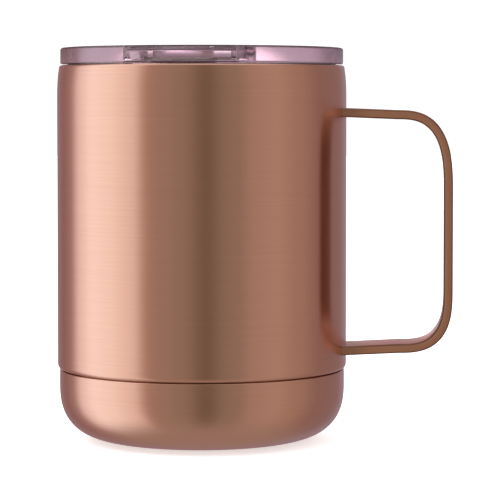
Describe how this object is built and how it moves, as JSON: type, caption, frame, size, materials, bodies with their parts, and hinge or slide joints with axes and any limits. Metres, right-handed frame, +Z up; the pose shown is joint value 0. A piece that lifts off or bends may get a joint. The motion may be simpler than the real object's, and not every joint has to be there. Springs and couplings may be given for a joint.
{
  "type": "insulated mug",
  "caption": "Double-walled metal mug with a flat strap handle, a rounded base cup and a clear press-in lid whose front flap tips up over the drinking hole.",
  "frame": {"origin": "centre of the foot pad's underside, on the mug's axis, where it stands", "axes": "+Z up along the mug's axis; +X from the axis towards the handle; the lid's flap faces -Y, turned 3.6 degrees towards -X"},
  "size_m": [0.1203, 0.088, 0.1194],
  "materials": {
    "copper_finish": "satin copper-coloured plating over steel, finely brushed round the body",
    "bare_steel": "satin stainless steel",
    "seal_metal": "dull solder bead",
    "getter_grey": "pressed powder pellet",
    "foot_silicone": "matte moulded silicone",
    "lid_silicone": "matte translucent silicone",
    "tinted_clear": "clear plastic with a pink-mauve tint, polished"
  },
  "bodies": {
    "mug": {"outer_shell": "copper_finish", "inner_liner": "bare_steel", "outer_bottom": "bare_steel", "vacuum_seal": "seal_metal", "getter": "getter_grey", "base_cap": "copper_finish", "foot_pad": "foot_silicone", "handle_strap": "copper_finish"},
    "lid_seal": {"lid_gasket": "lid_silicone"},
    "lid": {"lid_body": "tinted_clear"},
    "flap": {"flap": "tinted_clear", "flap_seal": "lid_silicone"}
  },
  "joints": [
    {"name": "lid_lift", "type": "slide", "parent": "mug", "child": "lid_seal", "axis": [0, 0, 1], "range_m": [0, 0.045]},
    {"name": "lid_turn", "type": "hinge", "parent": "lid_seal", "child": "lid", "pos_m": [0, 0, 0.1139], "axis": [0, 0, 1], "continuous": true},
    {"name": "flap_hinge", "type": "hinge", "parent": "lid", "child": "flap", "pos_m": [-0.00075, -0.01198, 0.1175], "axis": [-0.998, 0.0628, 0], "range_deg": [0, 175]}
  ]
}
